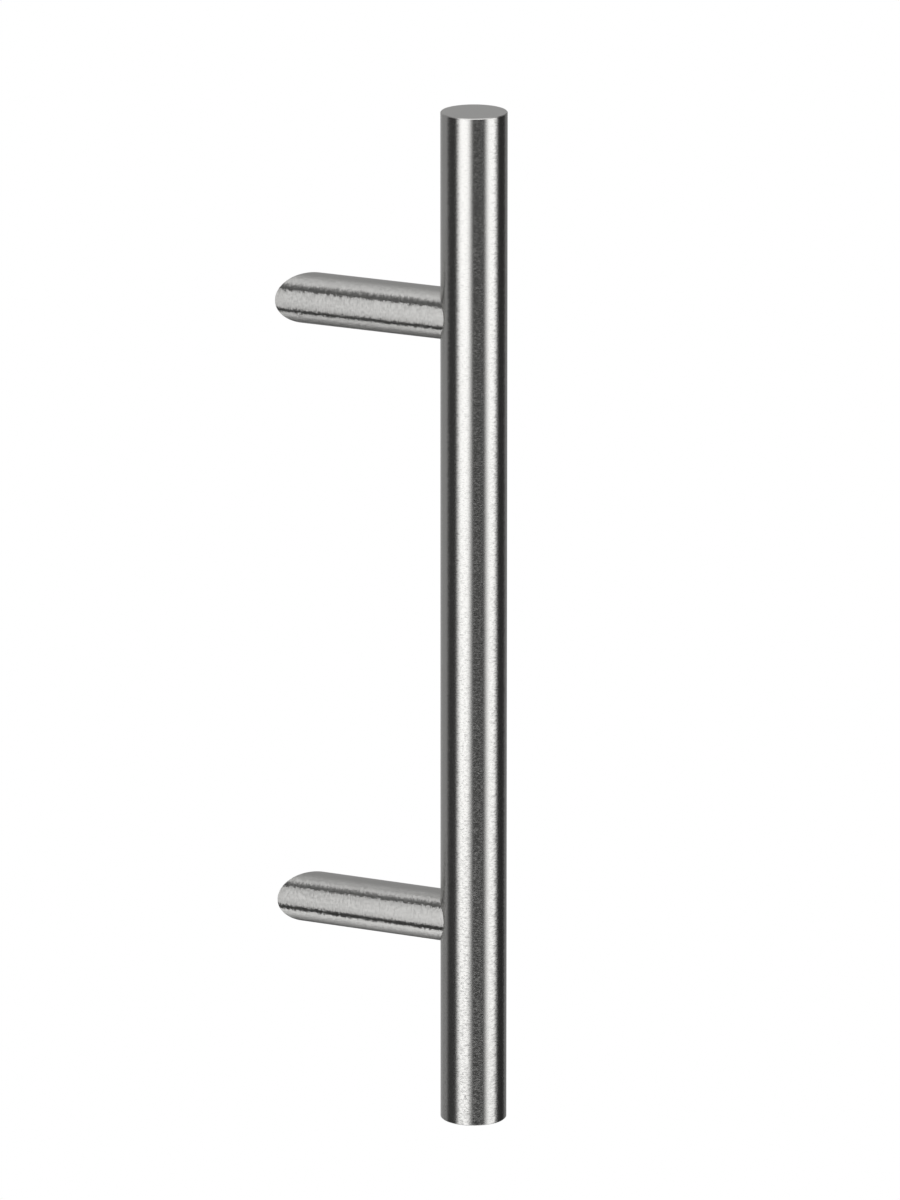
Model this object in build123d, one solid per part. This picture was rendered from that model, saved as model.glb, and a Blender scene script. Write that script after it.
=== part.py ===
# A door pull handle with a round grip held off to one side of its fixings by two slanted posts.
# All pieces are brushed stainless steel: a tubular grip with a bonded cap in each end, and two
# solid posts. Each post is coped to the grip at one end and mitred to sit flat on the door at
# the other. A stud holds it to a threaded block inside the grip, and a blind thread in its foot
# takes the door bolt.
#
# Millimetres. The origin is on the door's face, halfway between the two fixings. +Z is up, along
# the grip, +Y points into the door, and +X is the side that the grip is offset to.
from build123d import *
from math import cos, radians, sin, tan
import os

# Grip
grip_length = 500.0  # over both caps
grip_diameter = 32.0
grip_wall = 2.0
grip_standoff = 62.0  # from the door's face to the grip's axis
edge_break = 0.3  # small chamfer that takes the sharpness off a turned edge

# Posts
fixing_centres = 300.0
post_diameter = 25.0
post_angle = 45.0  # degrees between a post and the door's face

# Threads
thread_diameter = 8.0  # a thread with its stud in it is drawn at this size
tapping_diameter = 6.8  # an empty thread is drawn at the size it is drilled
drill_point_angle = 118.0
foot_thread_depth = 11.0  # full thread in a foot, from the door's face
foot_countersink = 0.9  # radial width and depth of the bevel at the mouth

# Joint between a post and the grip
stud_length = 35.0
stud_depth_in_post = 15.0
stud_hole_spare = 3.0  # drilled beyond the stud's end
stud_end_chamfer = 1.0
socket_across_flats = 4.0
socket_depth = 5.0
stud_clearance = 0.5  # round the stud where it passes through the grip's wall
block_length = 24.0
block_clearance = 0.1  # between a block and the inside of the grip
block_chamfer = 0.8

# End caps
cap_head_thickness = 3.0
cap_spigot_length = 12.0
cap_bond_gap = 0.05
cap_lead_in = 1.0
cap_groove_width = 4.0  # holds the adhesive
cap_groove_depth = 0.4

# What follows from the sizes above
grip_radius = grip_diameter / 2
bore_radius = grip_radius - grip_wall
post_radius = post_diameter / 2
tube_length = grip_length - 2 * cap_head_thickness
grip_offset = grip_standoff / tan(radians(post_angle))
post_direction = Vector(cos(radians(post_angle)), -sin(radians(post_angle)), 0)

# Planes to build on
grip_axis = Vector(grip_offset, -grip_standoff, 0)
grip_plane = Plane(origin=grip_axis, z_dir=Vector(0, 0, 1))
door_face = Plane.XZ


def post_plane(height):
    """On the grip's axis at this height, with its normal pointing along the post to the foot."""
    centre = grip_axis + Vector(0, 0, height)
    return Plane(origin=centre, x_dir=Vector(0, 0, 1), z_dir=-post_direction)


def foot_plane(height):
    """On the middle of a foot at this height, facing the door."""
    return Plane(origin=Vector(0, 0, height), x_dir=Vector(0, 0, 1), z_dir=Vector(0, 1, 0))


def drilling(radius, depth):
    """A drilled hole as a solid, entered at the local origin and running down the local -Z."""
    point_length = radius / tan(radians(drill_point_angle / 2))
    half_section = Polyline(
        (0, 0), (radius, 0), (radius, -depth), (0, -depth - point_length), close=True
    )
    return revolve(Plane.XZ * make_face(half_section), Axis.Z)


def countersink(radius, width):
    """The 45 degree bevel round the mouth of a hole of this radius, as a solid."""
    half_section = Polyline(
        (0, 0), (radius + width, 0), (radius, -width), (0, -width), close=True
    )
    return revolve(Plane.XZ * make_face(half_section), Axis.Z)


def make_grip_tube():
    """The drawn tube, deburred inside at both ends, with a clearance hole behind each post."""
    ring = Circle(grip_radius) - Circle(bore_radius)
    tube = extrude(grip_plane * ring, tube_length / 2, both=True)
    rims = tube.edges().filter_by(GeomType.CIRCLE).group_by(SortBy.RADIUS)[0]
    tube = chamfer(rims, edge_break)
    stud_hole = Circle(thread_diameter / 2 + stud_clearance)
    for height in (fixing_centres / 2, -fixing_centres / 2):
        tube -= extrude(post_plane(height) * stud_hole, grip_diameter)
    return tube


def make_end_cap():
    """A turned cap, as the upper one stands: its head is flush with the tube's outside."""
    spigot_radius = bore_radius - cap_bond_gap
    groove_top = (cap_spigot_length - cap_lead_in - cap_groove_width) / 2
    groove_bottom = groove_top + cap_groove_width
    groove_radius = spigot_radius - cap_groove_depth
    half_section = Polyline(
        (0, cap_head_thickness),
        (grip_radius - edge_break, cap_head_thickness),
        (grip_radius, cap_head_thickness - edge_break),
        (grip_radius, 0),
        (spigot_radius, 0),
        (spigot_radius, -groove_top),
        (groove_radius, -groove_top),
        (groove_radius, -groove_bottom),
        (spigot_radius, -groove_bottom),
        (spigot_radius, cap_lead_in - cap_spigot_length),
        (spigot_radius - cap_lead_in, -cap_spigot_length),
        (0, -cap_spigot_length),
        close=True,
    )
    return revolve(Plane.XZ * make_face(half_section), Axis.Z)


def make_post(height):
    """A solid post: coped to the grip, mitred flat to the door and tapped at both ends."""
    longest_side = grip_standoff / sin(radians(post_angle)) + post_radius / tan(radians(post_angle))
    post = extrude(post_plane(height) * Circle(post_radius), longest_side + post_diameter)
    post = split(post, bisect_by=door_face, keep=Keep.TOP)
    post -= extrude(grip_plane.offset(height) * Circle(grip_radius), post_diameter, both=True)
    foot_rim = post.faces().filter_by(Axis.Y).sort_by(Axis.Y)[-1].outer_wire().edges()
    post = chamfer(foot_rim, edge_break)

    stud_hole_depth = grip_radius + stud_depth_in_post + stud_hole_spare
    into_post = post_plane(height) * Rot(180, 0, 0)
    post -= into_post * drilling(thread_diameter / 2, stud_hole_depth)
    post -= foot_plane(height) * drilling(tapping_diameter / 2, foot_thread_depth)
    post -= foot_plane(height) * countersink(tapping_diameter / 2, foot_countersink)
    return post


def make_joint_stud(height):
    """A socket-headed length of thread, half in the post and half in the block."""
    outer_end = grip_radius + stud_depth_in_post
    inner_end = post_plane(height).offset(outer_end - stud_length)
    stud = extrude(inner_end * Circle(thread_diameter / 2), stud_length)
    ends = stud.edges().filter_by(GeomType.CIRCLE)
    stud = chamfer(ends, stud_end_chamfer)
    socket = RegularPolygon(socket_across_flats / 2, 6, major_radius=False)
    return stud - extrude(inner_end * socket, socket_depth)


def make_thread_block(height):
    """A short bar that slides into the grip and is tapped across for the stud."""
    block_radius = bore_radius - block_clearance
    middle = grip_plane.offset(height)
    block = extrude(middle * Circle(block_radius), block_length / 2, both=True)
    block = chamfer(block.edges().filter_by(GeomType.CIRCLE), block_chamfer)
    thread = extrude(post_plane(height) * Circle(thread_diameter / 2), grip_diameter, both=True)
    return block - thread


def make_handle():
    """Every piece in its place, by name."""
    cap = make_end_cap()
    tube_end = Pos(0, 0, tube_length / 2)
    pieces = {
        "grip_tube": make_grip_tube(),
        "upper_end_cap": grip_plane * tube_end * cap,
        "lower_end_cap": grip_plane * Rot(180, 0, 0) * tube_end * cap,
    }
    for side, height in (("upper", fixing_centres / 2), ("lower", -fixing_centres / 2)):
        pieces[f"{side}_post"] = make_post(height)
        pieces[f"{side}_joint_stud"] = make_joint_stud(height)
        pieces[f"{side}_thread_block"] = make_thread_block(height)
    return pieces


os.makedirs("parts", exist_ok=True)
for name, piece in make_handle().items():
    export_step(piece, f"parts/{name}.step")
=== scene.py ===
import bmesh
import bpy
from math import atan2, cos, pi, radians, sin, sqrt, tan
from mathutils import Matrix, Vector


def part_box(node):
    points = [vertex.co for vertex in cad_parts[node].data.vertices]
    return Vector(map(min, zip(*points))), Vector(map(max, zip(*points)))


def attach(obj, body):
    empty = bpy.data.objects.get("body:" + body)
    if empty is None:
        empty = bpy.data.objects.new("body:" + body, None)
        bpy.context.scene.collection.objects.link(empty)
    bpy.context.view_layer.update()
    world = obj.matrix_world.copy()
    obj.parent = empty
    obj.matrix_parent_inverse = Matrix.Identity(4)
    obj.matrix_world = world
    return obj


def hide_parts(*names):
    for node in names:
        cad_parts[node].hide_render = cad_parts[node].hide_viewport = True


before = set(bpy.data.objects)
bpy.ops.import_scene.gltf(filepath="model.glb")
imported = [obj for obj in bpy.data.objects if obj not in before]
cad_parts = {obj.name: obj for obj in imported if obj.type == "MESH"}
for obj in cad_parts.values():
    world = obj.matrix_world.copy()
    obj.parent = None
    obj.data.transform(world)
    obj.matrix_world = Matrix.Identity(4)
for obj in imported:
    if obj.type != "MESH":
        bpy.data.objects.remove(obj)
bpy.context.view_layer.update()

mm = 0.001
body = "root"
grainUv = "grain"  # U runs along a piece and over its ends, V runs round it

# Where the grip stands, read from the frame
tubeLow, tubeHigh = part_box("grip_tube")
gripAxis = Vector(((tubeLow.x + tubeHigh.x) / 2, (tubeLow.y + tubeHigh.y) / 2, 0))
gripRadius = (tubeHigh.x - tubeLow.x) / 2
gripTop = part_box("upper_end_cap")[1].z
tubeTop = tubeHigh.z

# Where the posts stand: each foot is centred on x = 0, y = 0
postLow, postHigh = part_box("upper_post")
postHeight = (postLow.z + postHigh.z) / 2
postRadius = (postHigh.z - postLow.z) / 2
postAxis = Vector((gripAxis.x, gripAxis.y, 0)).normalized()  # from the foot to the grip


# Mesh helpers

def addObject(name, bm):
    mesh = bpy.data.meshes.new(name)
    bm.to_mesh(mesh)
    bm.free()
    obj = bpy.data.objects.new(name, mesh)
    bpy.context.scene.collection.objects.link(obj)
    return obj


def lathe(points, steps, closed=False):
    # points are (radius, height) pairs; both ends lie on the axis unless the section is closed
    bm = bmesh.new()
    verts = [bm.verts.new((r, 0, z)) for r, z in points]
    edges = [bm.edges.new(pair) for pair in zip(verts, verts[1:])]
    if closed:
        edges.append(bm.edges.new((verts[-1], verts[0])))
    bmesh.ops.spin(bm, geom=verts + edges, cent=(0, 0, 0), axis=(0, 0, 1), dvec=(0, 0, 0),
                   angle=2 * pi, steps=steps, use_merge=True, use_duplicate=False)
    bmesh.ops.remove_doubles(bm, verts=bm.verts, dist=0.001 * mm)
    bmesh.ops.recalc_face_normals(bm, faces=bm.faces)
    return bm


def breakRim(bm, radius, height, width):
    # chamfers the circular edges of this radius at this height
    near = 0.01 * mm
    rim = [e for e in bm.edges if all(
        abs(sqrt(v.co.x ** 2 + v.co.y ** 2) - radius) < near and abs(v.co.z - height) < near
        for v in e.verts)]
    bmesh.ops.bevel(bm, geom=rim, offset=width, segments=1, profile=0.5,
                    affect="EDGES", material=-1)


def threadedRod(rootRadius, crestRadius, low, high, pitch, turnSteps=40):
    # a rod with a single-start thread, which passes through angle 0 at height 0
    flank = pitch * 5 / 16
    crest = pitch / 8
    root = (pitch - crest - 2 * flank) / 2
    turns = int((high - low) / pitch) + 3
    start = (int(low / pitch) - 2) * pitch
    section = [(rootRadius, 0), (rootRadius, root), (crestRadius, root + flank),
               (crestRadius, root + flank + crest), (rootRadius, pitch - root), (rootRadius, pitch)]
    bm = bmesh.new()
    verts = [bm.verts.new((r, 0, start + z)) for r, z in section]
    edges = [bm.edges.new(pair) for pair in zip(verts, verts[1:])]
    bmesh.ops.spin(bm, geom=verts + edges, cent=(0, 0, 0), axis=(0, 0, 1),
                   dvec=(0, 0, pitch / turnSteps), angle=2 * pi * turns, steps=turns * turnSteps,
                   use_merge=False, use_duplicate=False)
    bmesh.ops.remove_doubles(bm, verts=bm.verts, dist=0.002 * mm)
    for height, up in ((low, -1), (high, 1)):
        geom = bm.verts[:] + bm.edges[:] + bm.faces[:]
        bmesh.ops.bisect_plane(bm, geom=geom, dist=0.0001 * mm, plane_co=(0, 0, height),
                               plane_no=(0, 0, up), clear_outer=True)
        rim = [e for e in bm.edges if e.is_boundary and all(
            abs(v.co.z - height) < 0.001 * mm for v in e.verts)]
        bmesh.ops.edgenet_fill(bm, edges=rim)
    bmesh.ops.recalc_face_normals(bm, faces=bm.faces)
    return bm


def place(bm, matrix):
    bmesh.ops.transform(bm, matrix=matrix, verts=bm.verts)
    return bm


def boolean(obj, tool, operation):
    # the tool's faces keep their own material
    modifier = obj.modifiers.new("cut", "BOOLEAN")
    modifier.object = tool
    modifier.operation = operation
    modifier.solver = "EXACT"
    modifier.material_mode = "TRANSFER"
    graph = bpy.context.evaluated_depsgraph_get()
    result = bpy.data.meshes.new_from_object(obj.evaluated_get(graph))
    obj.modifiers.clear()
    obj.data = result
    bpy.data.objects.remove(tool)


def cutWith(obj, bm, material):
    tool = addObject("tool", bm)
    tool.data.materials.append(material)
    boolean(obj, tool, "DIFFERENCE")


def layGrain(obj, origin, axis, across=()):
    # U is the length along the piece, V the turn round it; faces in the across slots run level
    mesh = obj.data
    layer = mesh.uv_layers.get(grainUv) or mesh.uv_layers.new(name=grainUv)
    side = axis.orthogonal().normalized()
    other = axis.cross(side)
    for face in mesh.polygons:
        middle = face.center - origin
        faceTurn = atan2(middle.dot(other), middle.dot(side))
        tilt = face.normal.dot(axis)
        for index in face.loop_indices:
            spot = mesh.vertices[mesh.loops[index].vertex_index].co - origin
            if face.material_index in across:
                layer.data[index].uv = (spot.z, spot.x)
                continue
            along = spot.dot(axis)
            radius = (spot - along * axis).length
            turn = atan2(spot.dot(other), spot.dot(side)) if radius > 0.01 * mm else faceTurn
            if turn - faceTurn > pi:
                turn -= 2 * pi
            elif turn - faceTurn < -pi:
                turn += 2 * pi
            layer.data[index].uv = (along - radius * tilt, turn / (2 * pi))


def shade(obj, sharpAngle=35):
    # smooth faces with hard edges, and normals that leave the large faces true
    bm = bmesh.new()
    bm.from_mesh(obj.data)
    for face in bm.faces:
        face.smooth = True
    for edge in bm.edges:
        edge.smooth = len(edge.link_faces) == 2 and edge.calc_face_angle() < radians(sharpAngle)
    bm.to_mesh(obj.data)
    bm.free()
    modifier = obj.modifiers.new("trueFaces", "WEIGHTED_NORMAL")
    modifier.mode = "FACE_AREA"
    modifier.weight = 50
    modifier.keep_sharp = True


def finishPiece(obj, node):
    shade(obj)
    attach(obj, body)
    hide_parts(node)


def copyOf(obj, name, matrix):
    twin = obj.copy()
    twin.data = obj.data.copy()
    twin.name = name
    twin.data.name = name
    bpy.context.scene.collection.objects.link(twin)
    twin.data.transform(matrix)
    return twin


# Camera, as far off and as long a lens as the photograph's
cameraSetup = {
    "azimuth": -18.969,  # degrees to the left of square on
    "elevation": 15.209,
    "distance": 5.23615,
    "target": (0.04998, -0.0619, 0.01096),
    "lens": 327.44,
    "sensor": 36.0,
}


def addCamera(setup):
    turn, rise = radians(setup["azimuth"]), radians(setup["elevation"])
    back = Vector((sin(turn) * cos(rise), -cos(turn) * cos(rise), sin(rise)))
    data = bpy.data.cameras.new("camera")
    data.lens = setup["lens"]
    data.sensor_width = setup["sensor"]
    data.sensor_fit = "AUTO"
    data.clip_start, data.clip_end = 0.1, 50
    obj = bpy.data.objects.new("camera", data)
    obj.location = Vector(setup["target"]) + back * setup["distance"]
    obj.rotation_mode = "QUATERNION"
    obj.rotation_quaternion = (-back).to_track_quat("-Z", "Y")
    bpy.context.scene.collection.objects.link(obj)
    bpy.context.scene.camera = obj


addCamera(cameraSetup)
bpy.context.scene.view_settings.view_transform = "Standard"
print("camera placed")


# Materials

def addNode(tree, kind, inputs=None, **settings):
    node = tree.nodes.new(kind)
    for name, value in settings.items():
        setattr(node, name, value)
    for name, value in (inputs or {}).items():
        node.inputs[name].default_value = value
    return node


def combined(tree, operation, first, second):
    node = addNode(tree, "ShaderNodeMath", operation=operation)
    tree.links.new(first, node.inputs[0])
    tree.links.new(second, node.inputs[1])
    return node.outputs[0]


def buildBrushGrain():
    # the fine broken lines that a belt leaves, as a tilt, a roughness and a tint
    group = bpy.data.node_groups.new("brushGrain", "ShaderNodeTree")
    sockets = (
        ("Across", "INPUT", "NodeSocketVector", None),
        ("Along", "INPUT", "NodeSocketFloat", 0.0),
        ("Tangent", "INPUT", "NodeSocketVector", None),
        ("Line Width", "INPUT", "NodeSocketFloat", 0.5),
        ("Line Length", "INPUT", "NodeSocketFloat", 4.0),
        ("Roughness", "INPUT", "NodeSocketFloat", 0.25),
        ("Roughness Spread", "INPUT", "NodeSocketFloat", 0.1),
        ("Tint", "INPUT", "NodeSocketColor", (0.6, 0.6, 0.6, 1)),
        ("Tint Spread", "INPUT", "NodeSocketFloat", 0.1),
        ("Tilt Along", "INPUT", "NodeSocketFloat", 0.05),
        ("Tilt Round", "INPUT", "NodeSocketFloat", 0.0),
        ("Normal", "OUTPUT", "NodeSocketVector", None),
        ("Roughness", "OUTPUT", "NodeSocketFloat", None),
        ("Color", "OUTPUT", "NodeSocketColor", None),
    )
    for name, way, kind, value in sockets:
        socket = group.interface.new_socket(name=name, in_out=way, socket_type=kind)
        if value is not None:
            socket.default_value = value
    start = addNode(group, "NodeGroupInput")
    end = addNode(group, "NodeGroupOutput")
    link = group.links.new

    # metres to lines: the coordinates across are stretched, those along are packed
    perLength = addNode(group, "ShaderNodeMath", operation="DIVIDE", inputs={0: 1 / mm})
    perWidth = addNode(group, "ShaderNodeMath", operation="DIVIDE", inputs={0: 1 / mm})
    link(start.outputs["Line Length"], perLength.inputs[1])
    link(start.outputs["Line Width"], perWidth.inputs[1])
    stretched = addNode(group, "ShaderNodeVectorMath", operation="SCALE")
    link(start.outputs["Across"], stretched.inputs[0])
    link(perLength.outputs[0], stretched.inputs["Scale"])
    packed = combined(group, "MULTIPLY", start.outputs["Along"], perWidth.outputs[0])
    parts = addNode(group, "ShaderNodeSeparateXYZ")
    link(stretched.outputs[0], parts.inputs[0])
    spot = addNode(group, "ShaderNodeCombineXYZ")
    link(parts.outputs["X"], spot.inputs["X"])
    link(parts.outputs["Y"], spot.inputs["Y"])
    link(packed, spot.inputs["Z"])

    fine = addNode(group, "ShaderNodeTexNoise",
                   inputs={"Scale": 1.0, "Detail": 0.5, "Roughness": 0.5})
    broad = addNode(group, "ShaderNodeTexNoise",
                    inputs={"Scale": 0.23, "Detail": 1.0, "Roughness": 0.5})
    link(spot.outputs[0], fine.inputs["Vector"])
    link(spot.outputs[0], broad.inputs["Vector"])
    mixed = addNode(group, "ShaderNodeMix", data_type="FLOAT", inputs={"Factor": 0.2})
    link(fine.outputs["Fac"], mixed.inputs["A"])
    link(broad.outputs["Fac"], mixed.inputs["B"])

    # each line tips the surface along the piece and round it, by no more than the two tilts, in radians
    surface = addNode(group, "ShaderNodeNewGeometry")
    sideways = addNode(group, "ShaderNodeVectorMath", operation="CROSS_PRODUCT")
    link(surface.outputs["Normal"], sideways.inputs[0])
    link(start.outputs["Tangent"], sideways.inputs[1])
    centred = addNode(group, "ShaderNodeVectorMath", operation="SUBTRACT", inputs={1: (0.5, 0.5, 0.5)})
    link(fine.outputs["Color"], centred.inputs[0])
    spread = addNode(group, "ShaderNodeVectorMath", operation="SCALE", inputs={"Scale": 5.0})
    link(centred.outputs[0], spread.inputs[0])
    bounded = addNode(group, "ShaderNodeVectorMath", operation="SINE")
    link(spread.outputs[0], bounded.inputs[0])
    tips = addNode(group, "ShaderNodeSeparateXYZ")
    link(bounded.outputs[0], tips.inputs[0])
    tipped = surface.outputs["Normal"]
    for part, tilt, way in (("X", "Tilt Along", start.outputs["Tangent"]),
                            ("Y", "Tilt Round", sideways.outputs[0])):
        amount = combined(group, "MULTIPLY", tips.outputs[part], start.outputs[tilt])
        leaned = addNode(group, "ShaderNodeVectorMath", operation="MULTIPLY_ADD")
        link(way, leaned.inputs[0])
        link(amount, leaned.inputs[1])
        link(tipped, leaned.inputs[2])
        tipped = leaned.outputs[0]
    unit = addNode(group, "ShaderNodeVectorMath", operation="NORMALIZE")
    link(tipped, unit.inputs[0])
    link(unit.outputs[0], end.inputs["Normal"])

    # a signed amount either side of the middle drives the roughness and the tint
    signed = addNode(group, "ShaderNodeMapRange", clamp=True,
                     inputs={"From Min": 0.35, "From Max": 0.65, "To Min": -1.0, "To Max": 1.0})
    link(mixed.outputs["Result"], signed.inputs["Value"])
    rough = addNode(group, "ShaderNodeMath", operation="MULTIPLY_ADD")
    link(signed.outputs["Result"], rough.inputs[0])
    link(start.outputs["Roughness Spread"], rough.inputs[1])
    link(start.outputs["Roughness"], rough.inputs[2])
    link(rough.outputs[0], end.inputs["Roughness"])
    share = addNode(group, "ShaderNodeMath", operation="MULTIPLY_ADD", inputs={2: 1.0})
    link(signed.outputs["Result"], share.inputs[0])
    link(start.outputs["Tint Spread"], share.inputs[1])
    tinted = addNode(group, "ShaderNodeVectorMath", operation="SCALE")
    link(start.outputs["Tint"], tinted.inputs[0])
    link(share.outputs[0], tinted.inputs["Scale"])
    link(tinted.outputs[0], end.inputs["Color"])
    return group


brushGrain = buildBrushGrain()


def brushedSteel(name, finish):
    # finish holds the grain's sizes in millimetres, the shader's values and how the piece is turned
    material = bpy.data.materials.new(name)
    material.use_nodes = True
    tree = material.node_tree
    tree.nodes.clear()
    link = tree.links.new
    output = addNode(tree, "ShaderNodeOutputMaterial")
    shader = addNode(tree, "ShaderNodeBsdfPrincipled",
                     inputs={"Metallic": 1.0, "Anisotropic": finish["anisotropy"]})
    spot = addNode(tree, "ShaderNodeTexCoord")
    across = addNode(tree, "ShaderNodeMapping", vector_type="TEXTURE",
                     inputs={"Rotation": (0, finish["tip"], finish["turn"])})
    link(spot.outputs["Object"], across.inputs["Vector"])
    grainMap = addNode(tree, "ShaderNodeUVMap", uv_map=grainUv)
    alongPart = addNode(tree, "ShaderNodeSeparateXYZ")
    link(grainMap.outputs["UV"], alongPart.inputs[0])
    grain = addNode(tree, "ShaderNodeGroup", node_tree=brushGrain, inputs={
        "Line Width": finish["lineWidth"], "Line Length": finish["lineLength"],
        "Tint": (*finish["tint"], 1), "Tint Spread": finish["tintSpread"],
        "Roughness Spread": finish["roughnessSpread"],
        "Tilt Along": finish["tiltAlong"], "Tilt Round": finish["tiltRound"]})
    grain.inputs["Roughness"].default_value = finish["roughness"]
    link(across.outputs["Vector"], grain.inputs["Across"])
    link(alongPart.outputs["X"], grain.inputs["Along"])
    link(grain.outputs["Color"], shader.inputs["Base Color"])
    link(grain.outputs["Roughness"], shader.inputs["Roughness"])
    link(grain.outputs["Normal"], shader.inputs["Normal"])
    tangent = addNode(tree, "ShaderNodeTangent", direction_type="UV_MAP", uv_map=grainUv)
    link(tangent.outputs["Tangent"], grain.inputs["Tangent"])
    link(tangent.outputs["Tangent"], shader.inputs["Tangent"])
    link(shader.outputs["BSDF"], output.inputs["Surface"])
    return material


steelTint = (0.68, 0.675, 0.66)
upright = {"tip": 0.0, "turn": 0.0}
postTurn = atan2(postAxis.y, postAxis.x)
laidAlongPost = {"tip": radians(90), "turn": postTurn}

gripSteel = brushedSteel("gripSteel", {
    "tint": steelTint, "tintSpread": 0.01, "lineWidth": 0.6, "lineLength": 1.5,
    "roughness": 0.28, "roughnessSpread": 0.004, "anisotropy": 0.94,
    "tiltAlong": 0.18, "tiltRound": 0.002, **upright})
capSteel = brushedSteel("capSteel", {
    "tint": steelTint, "tintSpread": 0.005, "lineWidth": 0.4, "lineLength": 6.0,
    "roughness": 0.29, "roughnessSpread": 0.01, "anisotropy": 0.3,
    "tiltAlong": 0.002, "tiltRound": 0.002, **upright})
postSteel = brushedSteel("postSteel", {
    "tint": steelTint, "tintSpread": 0.005, "lineWidth": 0.6, "lineLength": 1.4,
    "roughness": 0.28, "roughnessSpread": 0.004, "anisotropy": 1.0,
    "tiltAlong": 0.062, "tiltRound": 0.056, **laidAlongPost})
footSteel = brushedSteel("footSteel", {
    "tint": steelTint, "tintSpread": 0.08, "lineWidth": 0.35, "lineLength": 8.0,
    "roughness": 0.32, "roughnessSpread": 0.04, "anisotropy": 0.5,
    "tiltAlong": 0.008, "tiltRound": 0.004, **upright})
cutSteel = brushedSteel("cutSteel", {
    "tint": (0.6, 0.6, 0.59), "tintSpread": 0.06, "lineWidth": 0.2, "lineLength": 8.0,
    "roughness": 0.32, "roughnessSpread": 0.04, "anisotropy": 0.0,
    "tiltAlong": 0.008, "tiltRound": 0.004, **upright})
print("materials made")


# Grip: a drawn tube with a clearance hole behind each post
gripTube = {
    "wall": 2.0 * mm,
    "steps": 256,
    "innerEdge": 0.3 * mm,
    "studHoleRadius": 4.5 * mm,
    "holeBand": 14 * mm,  # the mesh is ringed this far each side of a hole
}


def postPlacement(height):
    # local Z runs from the grip's axis to the foot, local X is level
    back = -postAxis
    level = Vector((0, 0, 1)).cross(back)
    turned = Matrix((level, back.cross(level), back)).transposed()
    return Matrix.Translation(gripAxis + Vector((0, 0, height))) @ turned.to_4x4()


def makeGripTube(size):
    inner = gripRadius - size["wall"]
    band, edge = size["holeBand"], size["innerEdge"]
    rings = [postHeight - band, postHeight + band]
    levels = (-rings[1], -rings[0], rings[0], rings[1])
    outside = [(gripRadius, z) for z in (-tubeTop, *levels, tubeTop)]
    inside = [(inner, z) for z in (tubeTop - edge, *reversed(levels), edge - tubeTop)]
    section = [*outside, (inner + edge, tubeTop), *inside, (inner + edge, -tubeTop)]
    bm = lathe(section, size["steps"], closed=True)
    tube = addObject("grip", place(bm, Matrix.Translation(gripAxis)))
    tube.data.materials.append(gripSteel)
    for height in (postHeight, -postHeight):
        hole = lathe([(0, 0), (size["studHoleRadius"], 0), (size["studHoleRadius"], 2 * gripRadius),
                      (0, 2 * gripRadius)], 48)
        cutWith(tube, place(hole, postPlacement(height)), cutSteel)
    layGrain(tube, gripAxis, Vector((0, 0, 1)))
    return tube


finishPiece(makeGripTube(gripTube), "grip_tube")
print("grip made")


# End caps: turned, with a spigot that is bonded into the tube
endCap = {
    "steps": 256,
    "rimWidth": 0.35 * mm,
    "bondGap": 0.05 * mm,
    "spigot": 12.0 * mm,
    "leadIn": 1.0 * mm,
    "grooveWidth": 4.0 * mm,
    "grooveDepth": 0.4 * mm,
}


def makeEndCap(size):
    spigotRadius = gripRadius - gripTube["wall"] - size["bondGap"]
    grooveRadius = spigotRadius - size["grooveDepth"]
    spigotEnd = tubeTop - size["spigot"]
    grooveTop = tubeTop - (size["spigot"] - size["leadIn"] - size["grooveWidth"]) / 2
    grooveEnd = grooveTop - size["grooveWidth"]
    section = [(0, gripTop), (gripRadius / 2, gripTop), (gripRadius, gripTop), (gripRadius, tubeTop),
               (spigotRadius, tubeTop), (spigotRadius, grooveTop), (grooveRadius, grooveTop),
               (grooveRadius, grooveEnd), (spigotRadius, grooveEnd),
               (spigotRadius, spigotEnd + size["leadIn"]),
               (spigotRadius - size["leadIn"], spigotEnd), (0, spigotEnd)]
    bm = lathe(section, size["steps"])
    breakRim(bm, gripRadius, gripTop, size["rimWidth"])
    cap = addObject("upperEndCap", place(bm, Matrix.Translation(gripAxis)))
    for material in (capSteel, gripSteel):
        cap.data.materials.append(material)
    for face in cap.data.polygons:  # the head's side was brushed with the tube
        onSide = abs(face.normal.z) < 0.5 and face.center.z > tubeTop
        face.material_index = 1 if onSide else 0
    layGrain(cap, gripAxis, Vector((0, 0, 1)))
    return cap


upperCap = makeEndCap(endCap)
upsideDown = Matrix.Translation(gripAxis) @ Matrix.Rotation(pi, 4, "X") @ Matrix.Translation(-gripAxis)
lowerCap = copyOf(upperCap, "lowerEndCap", upsideDown)
finishPiece(upperCap, "upper_end_cap")
finishPiece(lowerCap, "lower_end_cap")
print("end caps made")


# Posts: coped to the grip, mitred to the door, drilled for the stud at the grip's end and tapped at the
# door's
postSize = {
    "steps": 192,
    "saddleRings": 6,
    "saddleEdge": 0.15 * mm,
    "footEdge": 0.3 * mm,
    "studHoleRadius": 4.0 * mm,
    "studHoleDepth": 34.0 * mm,  # from the grip's axis
    "drillPoint": radians(118 / 2),
}
doorThread = {
    "pitch": 1.25 * mm,
    "rootRadius": 3.3 * mm,
    "crestRadius": 4.0 * mm,
    "drillRadius": 3.4 * mm,
    "depth": 11.0 * mm,
    "threadedDepth": 10.0 * mm,
    "countersink": 0.9 * mm,
}


def seatOnGrip(verts):
    for v in verts:
        v.co.z = sqrt(gripRadius ** 2 - v.co.x ** 2)


def ringEdges(step):
    # the new edges of an extruded ring
    return [e for e in step["geom"] if isinstance(e, bmesh.types.BMEdge)]


def ringVerts(step):
    return [v for v in step["geom"] if isinstance(v, bmesh.types.BMVert)]


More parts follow.
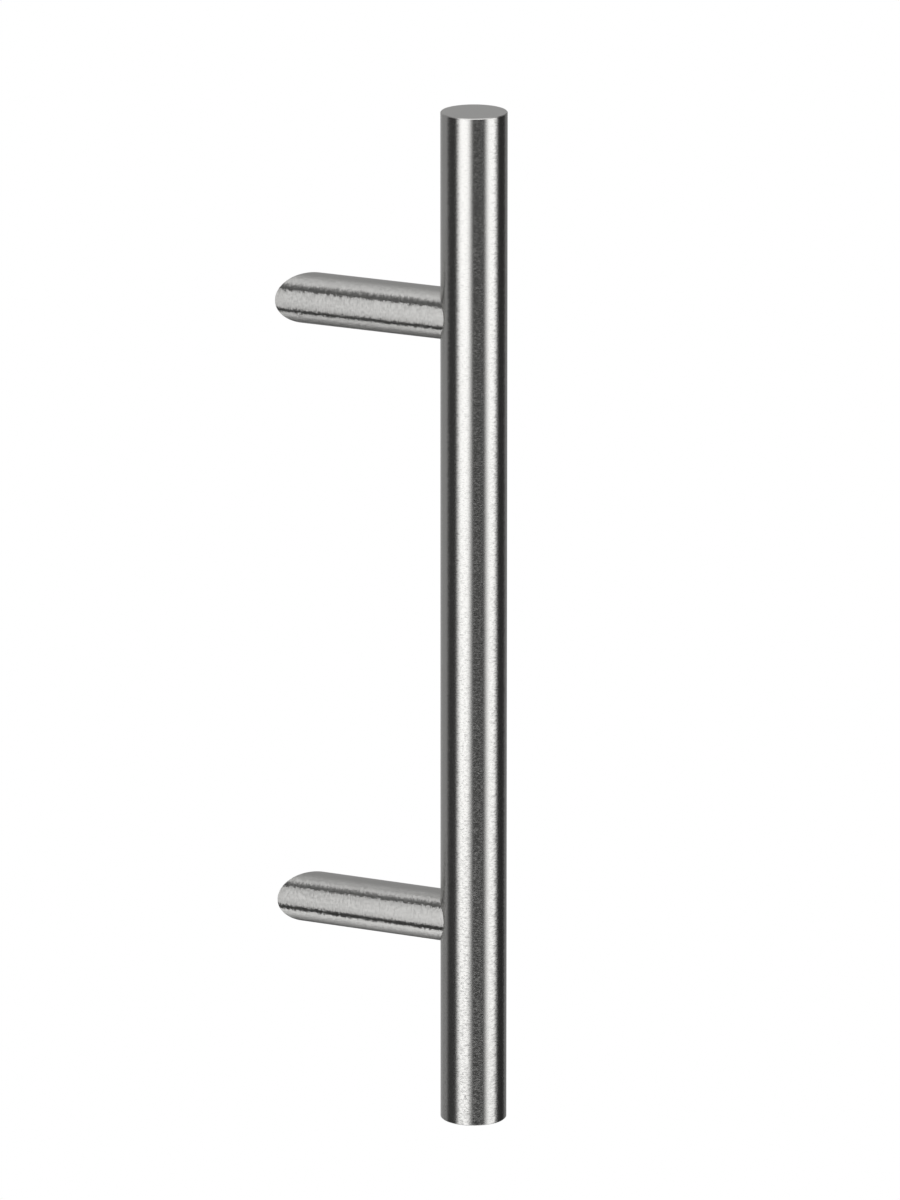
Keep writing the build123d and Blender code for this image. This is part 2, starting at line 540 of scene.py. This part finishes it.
def makePost(size):
    bm = bmesh.new()
    rim = bmesh.ops.create_circle(bm, segments=size["steps"], radius=postRadius)["verts"]
    rimEdges = list({e for v in rim for e in v.link_edges})
    # the wall, to well past the door's face
    wall = bmesh.ops.extrude_edge_only(bm, edges=rimEdges)
    farEnd = gripAxis.length + 2 * postRadius
    bmesh.ops.translate(bm, verts=ringVerts(wall), vec=(0, 0, farEnd))
    seatOnGrip(rim)
    # the saddle, ring by ring in to the stud's hole, and then the hole with its drill point
    edges = rimEdges
    radius = postRadius
    for ring in range(1, size["saddleRings"] + 1):
        smaller = postRadius + (size["studHoleRadius"] - postRadius) * ring / size["saddleRings"]
        step = bmesh.ops.extrude_edge_only(bm, edges=edges)
        verts, edges = ringVerts(step), ringEdges(step)
        bmesh.ops.scale(bm, verts=verts, vec=(smaller / radius, smaller / radius, 1))
        seatOnGrip(verts)
        radius = smaller
    step = bmesh.ops.extrude_edge_only(bm, edges=edges)
    verts, edges = ringVerts(step), ringEdges(step)
    for v in verts:
        v.co.z = size["studHoleDepth"]
    tip = bmesh.ops.extrude_edge_only(bm, edges=edges)
    for v in ringVerts(tip):
        v.co = (0, 0, size["studHoleDepth"] + size["studHoleRadius"] / tan(size["drillPoint"]))
    bmesh.ops.remove_doubles(bm, verts=bm.verts, dist=0.001 * mm)
    # a hair of an edge round the saddle
    near = 0.01 * mm
    outer = [e for e in bm.edges if abs(e.verts[0].co.z - e.verts[1].co.z) < 2 * mm and all(
        abs(sqrt(v.co.x ** 2 + v.co.y ** 2) - postRadius) < near and v.co.z < 2 * gripRadius
        for v in e.verts)]
    bmesh.ops.bevel(bm, geom=outer, offset=size["saddleEdge"], segments=2, profile=0.5,
                    affect="EDGES", material=-1)
    # into place, and mitred at the door's face
    place(bm, postPlacement(postHeight))
    bmesh.ops.bisect_plane(bm, geom=bm.verts[:] + bm.edges[:] + bm.faces[:], dist=0.001 * mm,
                           plane_co=(0, 0, 0), plane_no=(0, 1, 0), clear_outer=True)
    cut = [e for e in bm.edges if e.is_boundary]
    foot = bmesh.ops.contextual_create(bm, geom=cut)["faces"][0]
    foot.material_index = 1
    bmesh.ops.recalc_face_normals(bm, faces=bm.faces)
    bmesh.ops.bevel(bm, geom=foot.edges[:], offset=size["footEdge"], segments=2, profile=0.5,
                    affect="EDGES", material=-1)
    post = addObject("upperPost", bm)
    for material in (postSteel, footSteel):
        post.data.materials.append(material)
    return post


def tapFoot(post, size, height):
    # drill, countersink and tap from the door's side
    intoFoot = Matrix.Translation((0, 0, height)) @ Matrix.Rotation(pi / 2, 4, "X")
    above = 1 * mm
    mouth = size["drillRadius"] + size["countersink"]
    drill = lathe([(0, -above), (mouth + above, -above), (size["drillRadius"], size["countersink"]),
                   (size["drillRadius"], size["depth"]),
                   (0, size["depth"] + size["drillRadius"] / tan(postSize["drillPoint"]))], 64)
    cutWith(post, place(drill, intoFoot), cutSteel)
    tap = threadedRod(size["rootRadius"], size["crestRadius"], -above, size["threadedDepth"],
                      size["pitch"])
    cutWith(post, place(tap, intoFoot), cutSteel)


upperPost = makePost(postSize)
tapFoot(upperPost, doorThread, postHeight)
layGrain(upperPost, Vector((0, 0, postHeight)), postAxis, across=(1,))
toLower = Matrix.Translation((0, 0, -2 * postHeight))
lowerPost = copyOf(upperPost, "lowerPost", toLower)
finishPiece(upperPost, "upper_post")
finishPiece(lowerPost, "lower_post")
print("posts made")


# Studs and the blocks that they screw into, inside the grip
joint = {
    "pitch": 1.25 * mm,
    "rootRadius": 3.3 * mm,
    "crestRadius": 3.97 * mm,
    "studStart": -4.0 * mm,  # from the grip's axis
    "studEnd": 31.0 * mm,
    "studChamfer": 1.0 * mm,
    "socketRadius": 4.0 / 2 / cos(pi / 6) * mm,
    "socketDepth": 5.0 * mm,
    "threadGap": 0.03 * mm,  # between a stud's thread and a block's
    "blockLength": 24.0 * mm,
    "blockGap": 0.1 * mm,
    "blockEdge": 0.8 * mm,
}


def makeStud(size, height):
    low, high, edge = size["studStart"], size["studEnd"], size["studChamfer"]
    beyond = 1 * mm
    rod = threadedRod(size["rootRadius"], size["crestRadius"], low, high, size["pitch"])
    stud = addObject("upperStud", rod)
    stud.data.materials.append(cutSteel)
    wide = size["crestRadius"] + 0.5 * mm
    narrow = size["crestRadius"] - edge
    blank = addObject("tool", lathe([(0, low), (narrow, low), (wide, low + wide - narrow),
                                     (wide, high - wide + narrow), (narrow, high), (0, high)], 64))
    blank.data.materials.append(cutSteel)
    boolean(stud, blank, "INTERSECT")
    hexagon = bmesh.new()
    bmesh.ops.create_circle(hexagon, segments=6, radius=size["socketRadius"], cap_ends=True)
    solid = bmesh.ops.extrude_face_region(hexagon, geom=hexagon.faces[:])
    bmesh.ops.translate(hexagon, verts=ringVerts(solid), vec=(0, 0, size["socketDepth"] + beyond))
    bmesh.ops.recalc_face_normals(hexagon, faces=hexagon.faces)
    cutWith(stud, place(hexagon, Matrix.Translation((0, 0, low - beyond))), cutSteel)
    stud.data.transform(postPlacement(height))
    layGrain(stud, gripAxis + Vector((0, 0, height)), postAxis)
    return stud


def makeBlock(size, height):
    radius = gripRadius - gripTube["wall"] - size["blockGap"]
    half, edge = size["blockLength"] / 2, size["blockEdge"]
    section = [(0, half), (radius - edge, half), (radius, half - edge),
               (radius, edge - half), (radius - edge, -half), (0, -half)]
    bm = place(lathe(section, 128), Matrix.Translation(gripAxis + Vector((0, 0, height))))
    block = addObject("upperThreadBlock", bm)
    block.data.materials.append(cutSteel)
    gap = size["threadGap"]
    tap = threadedRod(size["rootRadius"] + gap, size["crestRadius"] + gap, -gripRadius, gripRadius,
                      size["pitch"])
    cutWith(block, place(tap, postPlacement(height)), cutSteel)
    layGrain(block, gripAxis + Vector((0, 0, height)), Vector((0, 0, 1)))
    return block


upperStud = makeStud(joint, postHeight)
upperBlock = makeBlock(joint, postHeight)
lowerStud = copyOf(upperStud, "lowerStud", toLower)
lowerBlock = copyOf(upperBlock, "lowerThreadBlock", toLower)
for piece, node in ((upperStud, "upper_joint_stud"), (lowerStud, "lower_joint_stud"),
                    (upperBlock, "upper_thread_block"), (lowerBlock, "lower_thread_block")):
    finishPiece(piece, node)
print("studs and blocks made")


# Studio: upright panels all round, a ceiling and a floor; all but the floor are seen only in the steel.
# Azimuths are in degrees from square on, to the right; lengths are in metres from the grip's middle.
studio = {
    "wallDistance": 1.33,
    "keyDistance": 1.074,  # the key stands square to the posts, so that their bands run straight
    "keyFacing": -45,
    "frontDistance": 10.8,  # the front is open to here, between these azimuths
    "openFrom": -30,
    "openTo": 24,
    "frontHeight": 8.0,
    "ceilingHeight": 1.5,
    "ceilingRadius": 2.4,
    "floorHeight": -1.13,
    "floorRadius": 0.78,
    "floorShift": (-0.1, 0.18),  # the floor's middle from the grip's
    "floorCuts": ((-45, 0.634), (0, 0.3)),  # azimuth and distance of each straight end that it has
    "groundHeight": -6.0,
    "groundRadius": 12.0,
}
fillLow, wallLow, softTop, wallTop = -1.5, -0.924, 0.918, 1.5  # heights that the panels run between
keyLevel, fillLevel, topFlagLevel, flagLevel = 1.6, 1.6, 0.112, 0.03
keyPanels = (  # name, from, to, lowest, highest, and the level at each side
    ("keyLeftEdge", -86, -61, wallLow, softTop, flagLevel, keyLevel),
    ("keySoftbox", -61, -45, wallLow, softTop, keyLevel, keyLevel),
    ("keyRightEdge", -45, -20, wallLow, softTop, keyLevel, 0.05),
    ("keyTopFlag", -86, -20, softTop, wallTop, topFlagLevel, topFlagLevel),
)
wallPanels = (
    ("fillLeftEdge", 13, 38, fillLow, softTop, 0.05, fillLevel),
    ("fillSoftbox", 38, 52, fillLow, softTop, fillLevel, fillLevel),
    ("fillRightEdge", 52, 75, fillLow, softTop, fillLevel, flagLevel),
    ("fillTopFlag", 13, 75, softTop, wallTop, topFlagLevel, topFlagLevel),
    ("rightFlag", 75, 107, wallLow, wallTop, flagLevel, flagLevel),
    ("rightEdge", 107, 123, wallLow, wallTop, flagLevel, 0.22),
    ("backRightCard", 123, 145, wallLow, wallTop, 0.22, 0.22),
    ("backCard", 145, 197, wallLow, wallTop, 0.38, 0.38),
    ("backLeftCard", 197, 230, wallLow, wallTop, 0.29, 0.29),
    ("leftEdge", 230, 246, wallLow, wallTop, 0.29, 0.045),
    ("leftFlag", 246, 274, wallLow, wallTop, 0.045, 0.045),
)
keyDimming = (-0.2, -0.75, 0.82)  # from this height down to that one, a panel dims to this share
fillDimming = (0.0, -0.85, 0.72)
dimmedLow = {
    "keySoftbox": keyDimming,
    "keyRightEdge": keyDimming,
    "fillLeftEdge": fillDimming,
    "fillSoftbox": fillDimming,
    "fillRightEdge": fillDimming,
}
openFront = (studio["openFrom"], studio["openTo"])
cardLevel, frontFlagLevel = 0.26, 0.01
frontLine = -3.0  # the far card is darkest here, and lightest at the ground
frontFlag = ("frontFlag", *openFront, frontLine, studio["frontHeight"], frontFlagLevel, frontFlagLevel)
frontCard = ("frontCard", *openFront, studio["groundHeight"], frontLine, cardLevel, frontFlagLevel)


def newMaterial(name):
    material = bpy.data.materials.new(name)
    material.use_nodes = True
    material.node_tree.nodes.clear()
    return material, material.node_tree


def fading(tree, value, start, end, first, last):
    # first at start, last at end, with a soft change between them
    fade = addNode(tree, "ShaderNodeMapRange", interpolation_type="SMOOTHSTEP", inputs={
        "From Min": start, "From Max": end, "To Min": first, "To Max": last})
    tree.links.new(value, fade.inputs["Value"])
    return fade.outputs["Result"]


def emissive(name, level):
    material, tree = newMaterial(name)
    glow = addNode(tree, "ShaderNodeEmission", inputs={"Color": (1, 1, 1, 1), "Strength": level})
    output = addNode(tree, "ShaderNodeOutputMaterial")
    tree.links.new(glow.outputs[0], output.inputs["Surface"])
    return material


def shaded(name, part, reach, firstLevel, lastLevel, middle):
    # for a panel with this reach and middle height, that changes softly to the right or upwards
    material, tree = newMaterial(name)
    link = tree.links.new
    spot = addNode(tree, "ShaderNodeTexCoord")
    parts = addNode(tree, "ShaderNodeSeparateXYZ")
    link(spot.outputs["Object"], parts.inputs[0])
    strength = fading(tree, parts.outputs[part], -reach / 2, reach / 2, firstLevel, lastLevel)
    if name in dimmedLow:
        start, end, share = dimmedLow[name]
        dimmed = fading(tree, parts.outputs["Y"], end - middle, start - middle, share, 1.0)
        strength = combined(tree, "MULTIPLY", strength, dimmed)
    glow = addNode(tree, "ShaderNodeEmission", inputs={"Color": (1, 1, 1, 1)})
    link(strength, glow.inputs["Strength"])
    output = addNode(tree, "ShaderNodeOutputMaterial")
    link(glow.outputs[0], output.inputs["Surface"])
    return material


def hideFromCamera(obj):
    obj.visible_camera = False
    obj.visible_diffuse = False
    obj.visible_shadow = False


def addPanel(row, distance, facing=None, part="X"):
    # an upright panel between two azimuths, square to their middle or to another azimuth; its level
    # changes along part, X to the right or Y upwards
    name, start, end, low, high, firstLevel, lastLevel = row
    turn = radians((start + end) / 2 if facing is None else facing)
    away, sideways = Vector((sin(turn), -cos(turn), 0)), Vector((cos(turn), sin(turn), 0))
    left, right = (distance * tan(radians(edge) - turn) for edge in (start, end))
    width, height, middle = right - left, high - low, (low + high) / 2
    bm = bmesh.new()
    bmesh.ops.create_grid(bm, x_segments=1, y_segments=1, size=0.5)
    bmesh.ops.scale(bm, verts=bm.verts, vec=(width, height, 1))
    panel = addObject(name, bm)
    panel.rotation_mode = "QUATERNION"
    panel.location = gripAxis + away * distance + sideways * (left + right) / 2 + Vector((0, 0, middle))
    panel.rotation_quaternion = away.to_track_quat("Z", "Y")
    reach = width if part == "X" else height
    panel.data.materials.append(shaded(name, part, reach, firstLevel, lastLevel, middle))
    hideFromCamera(panel)


for row in keyPanels:
    addPanel(row, studio["keyDistance"], studio["keyFacing"])
for row in wallPanels:
    addPanel(row, studio["wallDistance"])
addPanel(frontFlag, studio["frontDistance"])
addPanel(frontCard, studio["frontDistance"], part="Y")


def addDisc(name, radius, height, material, shift=(0, 0), cuts=()):
    # a level disc below or above the grip, which may end in straight lines
    bm = bmesh.new()
    bmesh.ops.create_circle(bm, cap_ends=True, segments=96, radius=radius,
                            matrix=Matrix.Translation((*shift, 0)))
    for azimuth, distance in cuts:
        turn = radians(azimuth)
        away = Vector((sin(turn), -cos(turn), 0))
        bmesh.ops.bisect_plane(bm, geom=bm.verts[:] + bm.edges[:] + bm.faces[:], dist=0.001 * mm,
                               plane_co=away * distance, plane_no=away, clear_outer=True)
    disc = addObject(name, place(bm, Matrix.Translation((gripAxis.x, gripAxis.y, height))))
    disc.data.materials.append(material)
    return disc


ceilingGlow = {
    "dark": 0.267,
    "rise": 1.0,
    "turn": radians(45),
    "nearEdge": (-0.882, -0.432),  # from the key's side, where it starts and where it is in full
    "fall": (-0.49, 1.181),  # where it starts to fade towards the back, and where it has
    "fallTo": 0.081,
    "leftEdge": (0.451, 0.853),
    "leftTo": 0.012,
}


def glowingCeiling(glow):
    # a soft bright patch, crisp on the key's side
    material, tree = newMaterial("ceilingGlow")
    link = tree.links.new
    output = addNode(tree, "ShaderNodeOutputMaterial")
    spot = addNode(tree, "ShaderNodeTexCoord")
    turned = addNode(tree, "ShaderNodeMapping", vector_type="TEXTURE", inputs={
        "Location": (gripAxis.x, gripAxis.y, studio["ceilingHeight"]),
        "Rotation": (0, 0, glow["turn"])})
    link(spot.outputs["Object"], turned.inputs["Vector"])
    parts = addNode(tree, "ShaderNodeSeparateXYZ")
    link(turned.outputs["Vector"], parts.inputs[0])
    level = None
    for part, (start, end), first, last in (("X", glow["nearEdge"], 0.0, glow["rise"]),
                                            ("X", glow["fall"], 1.0, glow["fallTo"]),
                                            ("Y", glow["leftEdge"], 1.0, glow["leftTo"])):
        share = fading(tree, parts.outputs[part], start, end, first, last)
        level = share if level is None else combined(tree, "MULTIPLY", level, share)
    total = addNode(tree, "ShaderNodeMath", operation="ADD", inputs={1: glow["dark"]})
    link(level, total.inputs[0])
    emission = addNode(tree, "ShaderNodeEmission", inputs={"Color": (1, 1, 1, 1)})
    link(total.outputs[0], emission.inputs["Strength"])
    link(emission.outputs[0], output.inputs["Surface"])
    return material


groundFlagLevel = 0.02
hideFromCamera(addDisc("ceiling", studio["ceilingRadius"], studio["ceilingHeight"],
                       glowingCeiling(ceilingGlow)))
hideFromCamera(addDisc("groundFlag", studio["groundRadius"], studio["groundHeight"],
                       emissive("groundFlag", groundFlagLevel)))


groundCard = {
    "near": 4.3,
    "far": studio["frontDistance"],
    "level": cardLevel,
    "above": 0.01,  # clear of the ground
}


def addGroundCard(size):
    # a sector of a ring, seen through the open front
    start, end = (radians(azimuth) for azimuth in openFront)
    bm = bmesh.new()
    edge = bm.edges.new([bm.verts.new((0, -reach, 0)) for reach in (size["near"], size["far"])])
    bmesh.ops.rotate(bm, verts=bm.verts, cent=(0, 0, 0), matrix=Matrix.Rotation(start, 3, "Z"))
    bmesh.ops.spin(bm, geom=[*edge.verts, edge], cent=(0, 0, 0), axis=(0, 0, 1), dvec=(0, 0, 0),
                   angle=end - start, steps=12, use_merge=False, use_duplicate=False)
    spot = Matrix.Translation((gripAxis.x, gripAxis.y, studio["groundHeight"] + size["above"]))
    card = addObject("groundCard", place(bm, spot))
    card.data.materials.append(emissive("groundCard", size["level"]))
    hideFromCamera(card)


addGroundCard(groundCard)


def addCeilingLamp():
    # lights the floor, and isn't seen in the steel
    radius, radiance, drop = 0.6, 1.2, 0.1
    data = bpy.data.lights.new("ceilingLamp", "AREA")
    data.shape = "DISK"
    data.size = 2 * radius
    data.energy = radiance * pi * pi * radius ** 2
    obj = bpy.data.objects.new("ceilingLamp", data)
    obj.location = (gripAxis.x, gripAxis.y, studio["ceilingHeight"] - drop)
    bpy.context.scene.collection.objects.link(obj)
    obj.visible_camera = False
    obj.visible_glossy = False


addCeilingLamp()

floorLook = {
    "color": (0.5, 0.5, 0.5, 1),
    "whiteAtMiddle": 0.7,  # how much of the floor is plain white to the camera at its middle
    "whiteFrom": 0.45,  # how far from its middle all of it is
    "mirrored": 2.0,  # how bright its near side is in reflections; none of it is at the far side
    "farFrom": -0.221,  # where the near side starts to fade, and where it has
    "farTo": 0.248,
}


def paleFloor(look):
    # a pale floor that keeps the shadow, and fades to white at its rim
    material, tree = newMaterial("paleFloor")
    link = tree.links.new
    output = addNode(tree, "ShaderNodeOutputMaterial")
    pale = addNode(tree, "ShaderNodeBsdfDiffuse", inputs={"Color": look["color"]})
    white = addNode(tree, "ShaderNodeEmission", inputs={"Color": (1, 1, 1, 1)})
    path = addNode(tree, "ShaderNodeLightPath")
    spot = addNode(tree, "ShaderNodeTexCoord")
    middle = (*(gripAxis.xy + Vector(studio["floorShift"])), studio["floorHeight"])
    apart = addNode(tree, "ShaderNodeVectorMath", operation="DISTANCE", inputs={1: middle})
    link(spot.outputs["Object"], apart.inputs[0])
    rim = fading(tree, apart.outputs["Value"], 0.0, look["whiteFrom"], look["whiteAtMiddle"], 1.0)
    parts = addNode(tree, "ShaderNodeSeparateXYZ")
    link(spot.outputs["Object"], parts.inputs[0])
    near = fading(tree, parts.outputs["Y"], look["farFrom"], look["farTo"], 1.0, 0.0)
    mirrored = combined(tree, "MAXIMUM", path.outputs["Is Glossy Ray"],
                        path.outputs["Is Transmission Ray"])
    strength = addNode(tree, "ShaderNodeMath", operation="MULTIPLY_ADD",
                       inputs={1: look["mirrored"] - 1, 2: 1.0})
    link(mirrored, strength.inputs[0])
    link(strength.outputs[0], white.inputs["Strength"])
    toCamera = combined(tree, "MULTIPLY", path.outputs["Is Camera Ray"], rim)
    share = addNode(tree, "ShaderNodeMath", operation="MULTIPLY_ADD")
    link(mirrored, share.inputs[0])
    link(near, share.inputs[1])
    link(toCamera, share.inputs[2])
    lit = addNode(tree, "ShaderNodeMixShader")
    link(share.outputs[0], lit.inputs[0])
    link(pale.outputs[0], lit.inputs[1])
    link(white.outputs[0], lit.inputs[2])
    link(lit.outputs[0], output.inputs["Surface"])
    return material


addDisc("floor", studio["floorRadius"], studio["floorHeight"], paleFloor(floorLook),
        studio["floorShift"], studio["floorCuts"])


def addWorld():
    # plain white to the camera, and to what reflects it; a soft grey for the rest
    world = bpy.data.worlds.new("studioWorld")
    world.use_nodes = True
    tree = world.node_tree
    tree.nodes.clear()
    link = tree.links.new
    output = addNode(tree, "ShaderNodeOutputWorld")
    path = addNode(tree, "ShaderNodeLightPath")
    seen = combined(tree, "MAXIMUM", path.outputs["Is Camera Ray"], path.outputs["Is Glossy Ray"])
    shown = combined(tree, "MAXIMUM", seen, path.outputs["Is Transmission Ray"])
    soft = addNode(tree, "ShaderNodeBackground", inputs={"Color": (1, 1, 1, 1), "Strength": 0.5})
    white = addNode(tree, "ShaderNodeBackground", inputs={"Color": (1, 1, 1, 1), "Strength": 1.0})
    mixed = addNode(tree, "ShaderNodeMixShader")
    link(shown, mixed.inputs[0])
    link(soft.outputs[0], mixed.inputs[1])
    link(white.outputs[0], mixed.inputs[2])
    link(mixed.outputs[0], output.inputs["Surface"])
    bpy.context.scene.world = world


addWorld()
print("studio lit")
